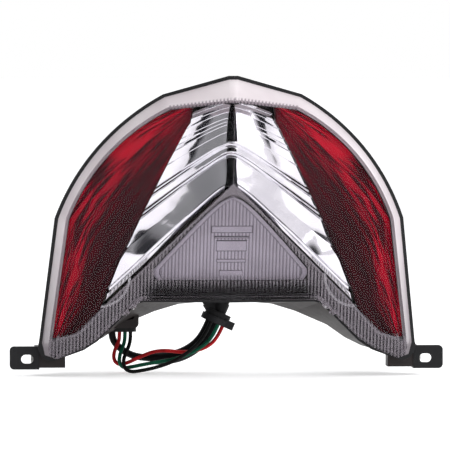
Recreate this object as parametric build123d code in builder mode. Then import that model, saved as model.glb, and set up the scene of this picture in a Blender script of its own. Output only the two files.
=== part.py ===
"""Motorcycle tail light: clear outer lens over red inner lenses, a chrome chevron reflector and a fluted window.

Millimetres. +X is to the right and +Z up, as seen by a rider behind. +Y points away from that rider, into the
motorcycle. The origin is midway between the slotted holes of the two mounting tabs.
"""

from build123d import *
import os
from math import hypot, pi, radians, tan

os.makedirs("parts", exist_ok=True)

# Overall sizes
lens_width = 215.4
lens_height = 163.8
housing_depth = 42.0

# Slopes: how far back a face goes per millimetre outwards (sweep) and how far forward per millimetre up (lean)
rim_sweep, rim_lean = 0.20, 0.25
front_sweep, front_lean = 0.33, 0.22
window_sweep, window_lean = 0.047, 0.507
chrome_sweep, chrome_lean = 0.19, 0.15
rim_start = -24.0
front_start = -46.0
window_start = -16.3
chrome_start = -26.5

# Walls and gaps
lens_wall = 2.2
housing_wall = 2.5
seal_thickness = 2.0
seal_overhang = 1.4
seal_width = 4.6
flange_overhang = 0.6
inner_lens_setback = 5.0
inner_lens_wall = 2.0
inner_lens_depth = 12.0
inner_lens_edge_gap = 2.2
chrome_thickness = 1.6
chevron_rise = 0.9
diffuser_setback = 4.5
diffuser_thickness = 2.4
flute_pitch = 2.0
flute_depth = 0.7

# Mounting tabs
tab_reach = 8.0
tab_end_margin = 10.2
tab_height = 13.4
tab_raise = 0.7
tab_thickness = 3.0
tab_corner = 2.6
tab_return = 15.0
tab_flange_thickness = 2.5
tab_gap = 1.0
slot_width = 5.2
slot_length = 7.2
lug_block_width = 15.0
lug_block_height = 11.5

# Bulb holders, bulbs and the bowls round them
holder_radius = 10.2
holder_clearance = 0.4
holder_gap = 0.3
boss_wall = 3.2
boss_length = 18.0
boss_stand = 7.5
lug_height = 1.8
lug_width = 5.0
lug_length = 2.6
flange_radius = 13.0
flange_thickness = 2.6
cap_radius = 8.5
cap_length = 9.0
grip_width = 22.0
grip_thickness = 3.0
holder_seal_thickness = 1.5
bulb_radius = 9.0
bulb_length = 20.0
bulb_base_radius = 7.4
bulb_base_length = 12.0
socket_clearance = 0.1
twist_angle = 30.0
bowl_front_radius = 18.0
bowl_back_radius = 12.8
bowl_depth = 15.0
bowl_wall = 1.4

# Licence plate lamp, reflector screws and breathers
plate_socket_radius = 7.0
plate_flange_radius = 10.0
plate_boss_radius = 11.5
plate_cap_radius = 6.0
plate_bulb_radius = 4.6
plate_bulb_length = 18.0
plate_stand = 3.5
plate_socket_length = 9.0
plate_flange_thickness = 2.4
plate_cap_length = 6.0
post_radius = 4.5
post_length = 6.0
screw_radius = 1.7
screw_head_radius = 3.3
screw_head_height = 2.2
screw_grip = 3.0
screw_bite = 4.5
breather_radius = 7.0
breather_stand = 4.0
breather_gap = 0.6
breather_length = 5.4
breather_hollow = 3.4
spigot_radius = 4.0
spigot_bore_radius = 1.5

# Harness
lead_mouth = (14.0, 7.0)
lead_mouth_corner = 2.0
right_leg_diameter = 7.0
left_leg_diameter = 6.0
trunk_diameter = 7.6
branch_diameter = 4.2
lead_diameter = 2.2
boot_radius = 7.6
boot_lower = 4.0
boot_upper = 9.0
boot_stub = 10.0
tie_width = 3.6
tie_thickness = 1.1
grommet_rim = 3.0

half_width = lens_width / 2
rim_face = (rim_start, rim_sweep, rim_lean)
front_face = (front_start, front_sweep, front_lean)
window_face = (window_start, window_sweep, window_lean)
chrome_face = (chrome_start, chrome_sweep, chrome_lean)
back_face = (rim_start + housing_depth, rim_sweep, rim_lean)


def depth(face, x, z):
    """Y of a slanted face at x, z. Each face is folded at the centre line, so both halves mirror."""
    start, sweep, lean = face
    return start + sweep * abs(x) - lean * z


def moved(face, back):
    """The same face, further back."""
    return (face[0] + back, face[1], face[2])


def face_plane(face):
    """Plane of the right half of a slanted face, its normal towards the rider behind."""
    start, sweep, lean = face
    return Plane(origin=(0, start, 0), x_dir=(1, sweep, 0), z_dir=(sweep, -1, -lean))


def shaped(*shares):
    """Points given as shares of the half width and of the height."""
    return [(across * half_width, up * lens_height) for across, up in shares]


def inset(outline, amount, closed=False):
    """A clockwise outline moved inwards. An open one is a right half, its ends kept on the centre line."""
    if closed:
        ring = [outline[-1]] + outline + [outline[0]]
    else:
        ring = [(-outline[1][0], outline[1][1])] + outline + [(-outline[-2][0], outline[-2][1])]
    result = []
    for (x0, z0), (x1, z1), (x2, z2) in zip(ring, ring[1:], ring[2:]):
        run_in, run_out = hypot(x1 - x0, z1 - z0), hypot(x2 - x1, z2 - z1)
        nx0, nz0 = (z1 - z0) / run_in, -(x1 - x0) / run_in
        nx1, nz1 = (z2 - z1) / run_out, -(x2 - x1) / run_out
        share = amount / (1 + nx0 * nx1 + nz0 * nz1)
        result.append((x1 + share * (nx0 + nx1), z1 + share * (nz0 + nz1)))
    return result


def half_block(front_outline, front, back_outline, back, bends=()):
    """Block between two outlines on slanted faces. A point whose index is in bends is the middle of an arc."""
    with BuildPart() as block:
        for outline, face in ((front_outline, front), (back_outline, back)):
            plane = face_plane(face)
            spots = [plane.to_local_coords(Vector(x, depth(face, x, z), z)) for x, z in outline]
            with BuildSketch(plane):
                with BuildLine():
                    for index in range(1, len(spots)):
                        if index in bends:
                            ThreePointArc(spots[index - 1], spots[index], spots[index + 1])
                        elif index - 1 not in bends:
                            Line(spots[index - 1], spots[index])
                    Line(spots[-1], spots[0])
                make_face()
        loft(ruled=True)
    return block.part


def ahead_of(face):
    """Everything in front of the right half of a slanted face."""
    with BuildPart() as block:
        with BuildSketch(face_plane(face)):
            Rectangle(3 * lens_width, 3 * lens_width)
        extrude(amount=lens_width)
    return block.part


def write(piece, label):
    """Labels a finished piece and writes its STEP file."""
    piece.part.label = label
    export_step(piece.part, f"parts/{label}.step")


# Right halves of the outlines, from the apex clockwise to the middle of the bottom edge
outline_bends = (3, 6)
rim_outline = shaped(
    (0, 1), (0.023, 1), (0.362, 0.936), (0.697, 0.757), (0.922, 0.502), (1, 0.061), (0.984, 0.016),
    (0.933, 0.004), (0.780, 0.042), (0.710, 0.073), (0.604, 0.142), (0.499, 0.209), (0.459, 0.217), (0, 0.217),
)
front_outline = shaped(
    (0, 0.922), (0.023, 0.922), (0.344, 0.899), (0.642, 0.752), (0.875, 0.503), (0.965, 0.045), (0.955, 0.014),
    (0.915, 0.004), (0.780, 0.042), (0.710, 0.073), (0.604, 0.142), (0.499, 0.209), (0.459, 0.217), (0, 0.217),
)
back_outline = shaped(
    (0, 0.904), (0.023, 0.904), (0.334, 0.842), (0.613, 0.690), (0.817, 0.500), (0.910, 0.085), (0.896, 0.037),
    (0.845, 0.0165), (0.752, 0.033), (0.659, 0.0635), (0.557, 0.111), (0.381, 0.162), (0.251, 0.189), (0, 0.205),
)

# Outer lens: a clear shell with a slanted flank all round and a window facet that faces down and back
lens_foot = moved(rim_face, -seal_thickness / 2)
housing_mouth = moved(rim_face, seal_thickness / 2)
lens_outside = half_block(front_outline, front_face, rim_outline, lens_foot, outline_bends)
lens_inside = half_block(
    inset(front_outline, lens_wall),
    moved(front_face, lens_wall),
    inset(rim_outline, lens_wall),
    moved(lens_foot, 1),
    outline_bends,
)
window_inside = ahead_of(moved(window_face, lens_wall))
with BuildPart() as lens_cavity:
    add(lens_inside)
    add(window_inside, mode=Mode.SUBTRACT)
window_outside = ahead_of(window_face)
with BuildPart() as outer_lens:
    add(lens_outside)
    add(window_outside, mode=Mode.SUBTRACT)
    add(lens_cavity.part, mode=Mode.SUBTRACT)
    mirror(about=Plane.YZ)
write(outer_lens, "outer_lens")

# Seal: the black bead that bonds the lens to the housing's mouth
seal_outline = inset(rim_outline, -seal_overhang)
seal_bore = inset(rim_outline, seal_width - seal_overhang)
seal_ring = half_block(seal_outline, lens_foot, seal_outline, housing_mouth, outline_bends)
seal_opening = half_block(seal_bore, moved(lens_foot, -1), seal_bore, moved(housing_mouth, 1), outline_bends)
with BuildPart() as lens_seal:
    add(seal_ring)
    add(seal_opening, mode=Mode.SUBTRACT)
    mirror(about=Plane.YZ)
write(lens_seal, "lens_seal")

# Places that several pieces share: x, z in the view from behind the motorcycle, and y on the housing's back
holder_x, holder_z = 0.687 * half_width, 0.293 * lens_height
boss_end = depth(back_face, holder_x, holder_z) + boss_stand
boss_start = boss_end - boss_length
plate_z = 0.366 * lens_height
plate_seat = depth(back_face, 0, plate_z) + plate_stand
post_spots = [(0.13 * half_width, 0.83 * lens_height), (0.42 * half_width, 0.47 * lens_height)]
chrome_back = moved(chrome_face, chrome_thickness)
breather_x, breather_z = 0.37 * half_width, 0.61 * lens_height
breather_seat = depth(back_face, breather_x, breather_z) + breather_stand
lug_outside = half_width + tab_gap
leg_outlet_x, leg_outlet_y, leg_outlet_z = 14.0, 17.5, 80.0
lead_outlet_x, lead_outlet_y, lead_outlet_z = -60.0, 33.2, 17.0
plug_x, plug_y, plug_z = -23.0, 22.0, 73.4
plug_width, plug_thickness, plug_height = 20.0, 14.0, 24.0


def along_y(x, z, y):
    """Plane whose normal points into the motorcycle. Its own y axis points down."""
    return Plane(origin=(x, y, z), x_dir=(1, 0, 0), z_dir=(0, 1, 0))


# Housing core: the hollow behind the lens, cut out of the shell
core_half = half_block(
    inset(rim_outline, housing_wall),
    moved(housing_mouth, -1),
    inset(back_outline, housing_wall),
    moved(back_face, -housing_wall),
    outline_bends,
)
with BuildPart() as housing_core:
    add(core_half)
    mirror(about=Plane.YZ)

# Rear housing: a deep shell with bosses for the lamp holders, posts for the reflector and outlets for the cables
housing_half = half_block(
    inset(rim_outline, -flange_overhang), housing_mouth, back_outline, back_face, outline_bends
)
with BuildPart() as rear_housing:
    add(housing_half)
    mirror(about=Plane.YZ)
    for side in (-1, 1):
        with BuildSketch(along_y(side * breather_x, breather_z, breather_seat - 8)):
            Circle(spigot_radius)
        extrude(amount=12)
        with BuildSketch(along_y(side * (lug_outside - lug_block_width / 2), tab_raise, -1.0)):
            Rectangle(lug_block_width, lug_block_height)
        extrude(amount=tab_return)
    with BuildSketch(along_y(leg_outlet_x, leg_outlet_z + 7, -2)):
        RectangleRounded(13, 14, 2)
    extrude(amount=leg_outlet_y + 8.5)
    with BuildSketch(along_y(lead_outlet_x, lead_outlet_z + 9, 12)):
        RectangleRounded(19, 18, 3)
    extrude(amount=lead_outlet_y - 5.5)
    with BuildSketch(along_y(plug_x, plug_z + plug_height / 2, 0)):
        Rectangle(16, 12)
    extrude(amount=plug_y - plug_thickness / 2)
    with BuildSketch(along_y(plug_x, plug_z + plug_height / 2, 11)):
        Rectangle(plug_width + 4.4, 12)
    extrude(amount=plug_y - plug_thickness / 2 - 11)
    with BuildSketch(along_y(plug_x, plug_z + plug_height / 2, 11)):
        with GridLocations(plug_width + 2.4, 1, 2, 1):
            Rectangle(2, 12)
    extrude(amount=plug_y - 11)
    add(housing_core.part, mode=Mode.SUBTRACT)
    with BuildSketch(along_y(0, plate_z, plate_seat - plate_socket_length)):
        Circle(plate_boss_radius)
    extrude(amount=plate_socket_length)
    with BuildSketch(along_y(0, plate_z, plate_seat - plate_socket_length - 1)):
        Circle(plate_socket_radius + socket_clearance)
    extrude(amount=plate_socket_length + 3, mode=Mode.SUBTRACT)
    for side in (-1, 1):
        with BuildSketch(along_y(side * holder_x, holder_z, boss_start)):
            Circle(holder_radius + holder_clearance + boss_wall)
        extrude(amount=boss_length)
        with BuildSketch(along_y(side * holder_x, holder_z, boss_start - 1)):
            Circle(holder_radius + holder_clearance)
            with PolarLocations(holder_radius, 3, start_angle=90):
                Rectangle(2 * (lug_height + holder_clearance), lug_width + 1)
        extrude(amount=boss_length + 2, mode=Mode.SUBTRACT)
        for x, z in post_spots:
            post_front = depth(chrome_back, x, z) + post_length
            post_back = depth(back_face, x, z) - 1
            with BuildSketch(along_y(side * x, z, post_front)):
                Circle(post_radius)
            extrude(amount=post_back - post_front)
            with BuildSketch(along_y(side * x, z, post_front)):
                Circle(screw_radius + socket_clearance)
            extrude(amount=housing_depth, mode=Mode.SUBTRACT)
            with BuildSketch(along_y(side * x, z, post_front + screw_grip)):
                Circle(screw_head_radius + socket_clearance)
            extrude(amount=housing_depth, mode=Mode.SUBTRACT)
        with BuildSketch(along_y(side * breather_x, breather_z, breather_seat - 14)):
            Circle(spigot_bore_radius)
        extrude(amount=20, mode=Mode.SUBTRACT)
        with BuildSketch(Plane(origin=(side * lug_outside, tab_return / 2, tab_raise), z_dir=(-side, 0, 0))):
            Circle(screw_radius)
        extrude(amount=10, mode=Mode.SUBTRACT)
    with BuildSketch(Plane.XY.offset(leg_outlet_z)):
        with Locations((leg_outlet_x, leg_outlet_y)):
            Circle(right_leg_diameter / 2)
    extrude(amount=7, mode=Mode.SUBTRACT)
    with BuildSketch(along_y(leg_outlet_x, leg_outlet_z + 7, -8)):
        Circle(right_leg_diameter / 2)
    extrude(amount=leg_outlet_y + 8, mode=Mode.SUBTRACT)
    with BuildSketch(Plane.XY.offset(lead_outlet_z)):
        with Locations((lead_outlet_x, lead_outlet_y)):
            RectangleRounded(*lead_mouth, lead_mouth_corner)
    extrude(amount=10, mode=Mode.SUBTRACT)
    with BuildSketch(along_y(lead_outlet_x, lead_outlet_z + 8.5, 10)):
        RectangleRounded(*lead_mouth, lead_mouth_corner)
    extrude(amount=lead_outlet_y - 10, mode=Mode.SUBTRACT)
write(rear_housing, "rear_housing")

# Chrome reflector: a folded panel of chevron strips, each one nearer the lens than the one above it
chrome_outline = shaped(
    (0, 0.905), (0.205, 0.882), (0.225, 0.845), (0.242, 0.830), (0.334, 0.712), (0.434, 0.575),
    (0.508, 0.473), (0.598, 0.357), (0.650, 0.261), (0.672, 0.196), (0.310, 0.452), (0.102, 0.590), (0, 0.610),
)
chevron_lines = ((0.87, 0.45), (0.835, 0.58), (0.80, 0.66), (0.75, 0.76), (0.71, 0.80), (0.655, 0.86))
with BuildPart() as chrome_half:
    for index in range(len(chevron_lines) + 1):
        near = moved(chrome_face, -chevron_rise * index)
        strip = half_block(chrome_outline, near, chrome_outline, moved(near, chrome_thickness + chevron_rise))
        with BuildPart() as band:
            add(strip)
            with BuildSketch(Plane.XZ):
                with BuildLine():
                    upper = chevron_lines[index - 1] if index else (1.2, 0)
                    lower = chevron_lines[index] if index < len(chevron_lines) else (-1.0, 0.0)
                    drops = [
                        (x, peak * lens_height - slope * x)
                        for x, (peak, slope) in ((0, upper), (half_width, upper), (half_width, lower), (0, lower))
                    ]
                    Polyline(*drops, close=True)
                make_face()
            extrude(amount=lens_width, both=True, mode=Mode.INTERSECT)
        add(band.part)
    for x, z in post_spots:
        steps = sum(z < peak * lens_height - slope * x for peak, slope in chevron_lines)
        panel_y = depth(moved(chrome_face, -chevron_rise * steps), x, z)
        with BuildSketch(along_y(x, z, panel_y + 1.0)):
            Circle(post_radius)
        extrude(amount=depth(chrome_back, x, z) + post_length - panel_y - 1.0)
        with BuildSketch(along_y(x, z, depth(chrome_back, x, z) + post_length - screw_bite)):
            Circle(screw_radius)
        extrude(amount=screw_bite, mode=Mode.SUBTRACT)
with BuildPart() as chrome_reflector:
    add(chrome_half.part)
    mirror(about=Plane.YZ)
write(chrome_reflector, "chrome_reflector")

# Screws that hold the reflector to the housing's posts, put in from behind
with BuildPart() as reflector_screws:
    for side in (-1, 1):
        for x, z in post_spots:
            seat = depth(chrome_back, x, z) + post_length + screw_grip
            with BuildSketch(along_y(side * x, z, seat)):
                Circle(screw_head_radius)
            extrude(amount=screw_head_height)
            with BuildSketch(along_y(side * x, z, seat - screw_grip - screw_bite)):
                Circle(screw_radius)
            extrude(amount=screw_grip + screw_bite)
write(reflector_screws, "reflector_screws")

# Red inner lenses: shallow open trays behind the outer lens, from the chrome panel out to the flank
red_outline = shaped(
    (0.232, 0.919), (0.344, 0.897), (0.642, 0.752), (0.875, 0.503), (0.965, 0.075), (0.905, 0.077),
    (0.805, 0.094), (0.768, 0.116), (0.690, 0.185), (0.650, 0.261), (0.598, 0.357), (0.508, 0.473),
    (0.434, 0.575), (0.334, 0.712), (0.242, 0.830), (0.225, 0.845), (0.215, 0.880),
)
red_bends = (2,)
red_edge = inset(red_outline, inner_lens_edge_gap, closed=True)
red_hollow = inset(red_edge, inner_lens_wall, closed=True)
red_tray = half_block(
    red_edge,
    moved(front_face, inner_lens_setback),
    red_edge,
    moved(front_face, inner_lens_setback + inner_lens_depth),
    red_bends,
)
red_cavity = half_block(
    red_hollow,
    moved(front_face, inner_lens_setback + inner_lens_wall),
    red_hollow,
    moved(front_face, inner_lens_setback + inner_lens_depth + 1),
    red_bends,
)
with BuildPart() as red_lens_right:
    add(red_tray)
    add(red_cavity, mode=Mode.SUBTRACT)
write(red_lens_right, "red_lens_right")
with BuildPart() as red_lens_left:
    add(red_lens_right.part)
    mirror(about=Plane.YZ, mode=Mode.REPLACE)
write(red_lens_left, "red_lens_left")

# Centre diffuser: a fluted triangle behind the window, with a raised frame and plain pads on its face
diffuser_outline = shaped(
    (0, 0.583), (0.070, 0.562), (0.121, 0.521), (0.404, 0.311), (0.413, 0.296), (0.390, 0.288), (0, 0.288)
)
diffuser_bends = (1, 4)
diffuser_front = moved(window_face, diffuser_setback)
diffuser_back = moved(diffuser_front, diffuser_thickness)
diffuser_plate = half_block(diffuser_outline, diffuser_front, diffuser_outline, diffuser_back, diffuser_bends)
frame_face = moved(diffuser_front, -1.0)
frame_block = half_block(diffuser_outline, frame_face, diffuser_outline, diffuser_back, diffuser_bends)
frame_hole = inset(diffuser_outline, 2.2)
frame_bore = half_block(frame_hole, moved(frame_face, -1), frame_hole, diffuser_front, diffuser_bends)
pads = ((0.47, 24.0, 2.3), (0.445, 20.6, 1.2), (0.414, 12.8, 6.4), (0.358, 16.8, 1.6), (0.315, 12.8, 2.8))
with BuildPart() as centre_diffuser:
    add(frame_block)
    add(frame_bore, mode=Mode.SUBTRACT)
    with BuildSketch():
        with BuildLine():
            flute_count = 2 * int(half_width / 2 / flute_pitch)
            teeth = []
            for tooth in range(flute_count + 1):
                x = tooth * flute_pitch / 2
                teeth.append((x, depth(diffuser_back, x, 0) - (flute_depth if tooth % 2 else 0)))
            Polyline(*teeth, (teeth[-1][0], lens_width), (0, lens_width), close=True)
        make_face()
    extrude(dir=(0, -window_lean, 1), amount=lens_height, mode=Mode.SUBTRACT)
    for share, width, height in pads:
        z = share * lens_height
        with BuildSketch(face_plane(moved(diffuser_front, -0.6))):
            with Locations(face_plane(diffuser_front).to_local_coords(Vector(0, depth(diffuser_front, 0, z), z))):
                Rectangle(width / 2, height, align=(Align.MIN, Align.CENTER))
        extrude(amount=-1.0)
    mirror(about=Plane.YZ)
write(centre_diffuser, "centre_diffuser")

# Bulb holders: each twists into its boss with three lugs, sealed by a ring under its flange
lug_end = boss_start - holder_gap
holder_front = lug_end - lug_length - holder_gap
seal_seat = boss_end + holder_gap
flange_seat = seal_seat + holder_seal_thickness
base_front = holder_front - 1.5
with BuildPart() as bulb_holder_right:
    with BuildSketch(along_y(holder_x, holder_z, holder_front)):
        Circle(holder_radius)
    extrude(amount=flange_seat - holder_front)
    with BuildSketch(along_y(holder_x, holder_z, lug_end - lug_length)):
        with PolarLocations(holder_radius, 3, start_angle=90 + twist_angle):
            Rectangle(2 * lug_height, lug_width)
    extrude(amount=lug_length)
    with BuildSketch(along_y(holder_x, holder_z, flange_seat)):
        Circle(flange_radius)
    extrude(amount=flange_thickness)
    with BuildSketch(along_y(holder_x, holder_z, flange_seat + flange_thickness)):
        Circle(cap_radius)
        Rectangle(grip_width, grip_thickness)
    extrude(amount=cap_length)
    fillet(bulb_holder_right.faces().sort_by(Axis.Y)[-1].edges(), 0.8)
    with BuildSketch(along_y(holder_x, holder_z, holder_front)):
        Circle(bulb_base_radius + socket_clearance)
    extrude(amount=bulb_base_length + 1, mode=Mode.SUBTRACT)
write(bulb_holder_right, "bulb_holder_right")

with BuildPart() as holder_seal_right:
    with BuildSketch(along_y(holder_x, holder_z, seal_seat)):
        Circle(flange_radius - 0.6)
        Circle(holder_radius, mode=Mode.SUBTRACT)
    extrude(amount=holder_seal_thickness)
write(holder_seal_right, "holder_seal_right")

with BuildPart() as bulb_base_right:
    with BuildSketch(along_y(holder_x, holder_z, base_front)):
        Circle(bulb_base_radius)
    extrude(amount=bulb_base_length)
write(bulb_base_right, "bulb_base_right")

with BuildPart() as bulb_right:
    with BuildSketch(along_y(holder_x, holder_z, base_front - bulb_length)):
        Circle(bulb_radius)
    extrude(amount=bulb_length)
    fillet(bulb_right.edges().group_by(Axis.Y)[0], 0.9 * bulb_radius)
    fillet(bulb_right.edges().group_by(Axis.Y)[-1], 0.25 * bulb_radius)
write(bulb_right, "bulb_right")

# Bulb reflector: a chromed bowl round each bulb
with BuildPart() as bulb_reflector_right:
    bowl_back = holder_front - holder_gap
    bowl_front = bowl_back - bowl_depth
    middle = (0.72 * bowl_front_radius + 0.28 * bowl_back_radius, bowl_back - 0.4 * bowl_depth)
    with BuildSketch(Plane(origin=(holder_x, 0, holder_z))):
        with BuildLine():
            ThreePointArc((bowl_back_radius, bowl_back), middle, (bowl_front_radius, bowl_front))
            Line((bowl_front_radius, bowl_front), (bowl_front_radius - bowl_wall, bowl_front))
            ThreePointArc(
                (bowl_front_radius - bowl_wall, bowl_front),
                (middle[0] - bowl_wall, middle[1]),
                (bowl_back_radius - bowl_wall, bowl_back),
            )
            Line((bowl_back_radius - bowl_wall, bowl_back), (bowl_back_radius, bowl_back))
        make_face()
    revolve(axis=Axis((holder_x, 0, holder_z), (0, 1, 0)))
write(bulb_reflector_right, "bulb_reflector_right")

for label, right in (
    ("bulb_holder", bulb_holder_right),
    ("holder_seal", holder_seal_right),
    ("bulb_base", bulb_base_right),
    ("bulb", bulb_right),
    ("bulb_reflector", bulb_reflector_right),
):
    with BuildPart() as left:
        add(right.part)
        mirror(about=Plane.YZ, mode=Mode.REPLACE)
    write(left, f"{label}_left")

# Licence plate lamp: a push-in rubber socket in the middle of the back, with a small wedge bulb
with BuildPart() as plate_bulb_socket:
    with BuildSketch(along_y(0, plate_z, plate_seat - plate_socket_length)):
        Circle(plate_socket_radius)
    extrude(amount=plate_socket_length)
    with BuildSketch(along_y(0, plate_z, plate_seat)):
        Circle(plate_flange_radius)
    extrude(amount=plate_flange_thickness)
    with BuildSketch(along_y(0, plate_z, plate_seat + plate_flange_thickness)):
        Circle(plate_cap_radius)
    extrude(amount=plate_cap_length)
    fillet(plate_bulb_socket.edges().group_by(Axis.Y)[-1], 1.5)
write(plate_bulb_socket, "plate_bulb_socket")

with BuildPart() as plate_bulb:
    with BuildSketch(along_y(0, plate_z, plate_seat - plate_socket_length - plate_bulb_length)):
        Circle(plate_bulb_radius)
    extrude(amount=plate_bulb_length)
    fillet(plate_bulb.edges().group_by(Axis.Y)[0], 0.9 * plate_bulb_radius)
write(plate_bulb, "plate_bulb")

# Mounting tabs: flat plates with a slotted hole, each with a flange screwed to the side of the housing
hole_x = half_width + tab_reach
tab_end = hole_x + tab_end_margin
with BuildPart() as mount_tab_right:
    with BuildSketch(along_y((lug_outside + tab_end) / 2, tab_raise, -tab_thickness / 2)):
        Rectangle(tab_end - lug_outside, tab_height)
    extrude(amount=tab_thickness)
    outer_edges = mount_tab_right.edges().filter_by(Axis.Y).sort_by(Axis.X)[-2:]
    fillet(outer_edges, tab_corner)
    with BuildSketch(along_y(hole_x, 0, -tab_thickness / 2)):
        SlotOverall(slot_length, slot_width)
    extrude(amount=tab_thickness, mode=Mode.SUBTRACT)
    with BuildSketch(along_y(lug_outside + tab_flange_thickness / 2, tab_raise, tab_thickness / 2)):
        Rectangle(tab_flange_thickness, tab_height)
    extrude(amount=tab_return - 2)
    with BuildSketch(Plane(origin=(lug_outside, tab_return / 2, tab_raise), z_dir=(1, 0, 0))):
        Circle(screw_radius + socket_clearance)
    extrude(amount=4, mode=Mode.SUBTRACT)
write(mount_tab_right, "mount_tab_right")
with BuildPart() as mount_tab_left:
    add(mount_tab_right.part)
    mirror(about=Plane.YZ, mode=Mode.REPLACE)
write(mount_tab_left, "mount_tab_left")

with BuildPart() as tab_screws:
    with BuildSketch(Plane(origin=(lug_outside - 8, tab_return / 2, tab_raise), z_dir=(1, 0, 0))):
        Circle(screw_radius)
    extrude(amount=8 + tab_flange_thickness)
    head_seat = (lug_outside + tab_flange_thickness, tab_return / 2, tab_raise)
    with BuildSketch(Plane(origin=head_seat, z_dir=(1, 0, 0))):
        Circle(screw_head_radius)
    extrude(amount=screw_head_height)
    mirror(about=Plane.YZ)
write(tab_screws, "tab_screws")

# Breather caps: rubber cups over the two spigots, which let the housing breathe
for side, label in ((-1, "breather_cap_left"), (1, "breather_cap_right")):
    with BuildPart() as breather_cap:
        with BuildSketch(along_y(side * breather_x, breather_z, breather_seat + breather_gap)):
            Circle(breather_radius)
        extrude(amount=breather_length)
        fillet(breather_cap.edges().group_by(Axis.Y)[-1], 1.2)
        with BuildSketch(along_y(side * breather_x, breather_z, breather_seat + breather_gap)):
            Circle(spigot_radius)
        extrude(amount=breather_hollow, mode=Mode.SUBTRACT)
    write(breather_cap, label)

# Grommets in the mouths of the two cable outlets
with BuildPart() as leg_grommet:
    with BuildSketch(Plane.XY.offset(leg_outlet_z - grommet_rim)):
        with Locations((leg_outlet_x, leg_outlet_y)):
            Circle(5.8)
    extrude(amount=grommet_rim)
    with BuildSketch(Plane.XY.offset(leg_outlet_z)):
        with Locations((leg_outlet_x, leg_outlet_y)):
            Circle(right_leg_diameter / 2)
    extrude(amount=3)
write(leg_grommet, "leg_grommet")
with BuildPart() as lead_grommet:
    with BuildSketch(Plane.XY.offset(lead_outlet_z - grommet_rim)):
        with Locations((lead_outlet_x, lead_outlet_y)):
            RectangleRounded(18, 10, 4)
    extrude(amount=grommet_rim)
    with BuildSketch(Plane.XY.offset(lead_outlet_z)):
        with Locations((lead_outlet_x, lead_outlet_y)):
            RectangleRounded(*lead_mouth, lead_mouth_corner)
    extrude(amount=4)
write(lead_grommet, "lead_grommet")

# Harness boot: the moulded Y where the two legs join the trunk, tilted along the trunk's first run
boot_centre = (-4.0, 26.0, 23.0)
trunk_direction = (-0.4, 0, -0.9165)
stub_direction = (-0.53, 0, 0.848)
boot_plane = Plane(origin=boot_centre, z_dir=trunk_direction)
stub_plane = Plane(origin=boot_centre, z_dir=stub_direction)
with BuildPart() as harness_boot:
    with BuildSketch(boot_plane.offset(-3)):
        Circle(boot_radius)
    extrude(amount=boot_lower + 3)
    with BuildSketch(boot_plane.offset(-boot_upper)):
        Circle(right_leg_diameter / 2 + 0.6)
    extrude(amount=boot_upper)
    with BuildSketch(stub_plane):
        Circle(left_leg_diameter / 2 + 0.6)
    extrude(amount=boot_stub)
write(harness_boot, "harness_boot")

with BuildPart() as cable_tie:
    with BuildSketch(boot_plane.offset(0.2)):
        Circle(boot_radius + tie_thickness)
        Circle(boot_radius, mode=Mode.SUBTRACT)
    extrude(amount=tie_width)
    with BuildSketch(boot_plane.offset(-0.6)):
        with Locations(boot_plane.to_local_coords(Vector(boot_centre[0] + boot_radius, 22.5, 20))):
            Rectangle(5.5, 5)
    extrude(amount=4.6)
    with BuildSketch(boot_plane.offset(-1)):
        Circle(boot_radius)
    extrude(amount=6, mode=Mode.SUBTRACT)
write(cable_tie, "cable_tie")

# Connector parked on the lug of the housing's back
with BuildPart() as connector:
    with BuildSketch(Plane.XY.offset(plug_z)):
        with Locations((plug_x, plug_y)):
            Rectangle(plug_width, plug_thickness)
    extrude(amount=plug_height)
    fillet(connector.edges().filter_by(Axis.Z), 1.5)
    with BuildSketch(along_y(plug_x, plug_z + 15, plug_y + plug_thickness / 2)):
        Rectangle(8, 12)
    extrude(amount=2)
write(connector, "connector")

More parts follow.
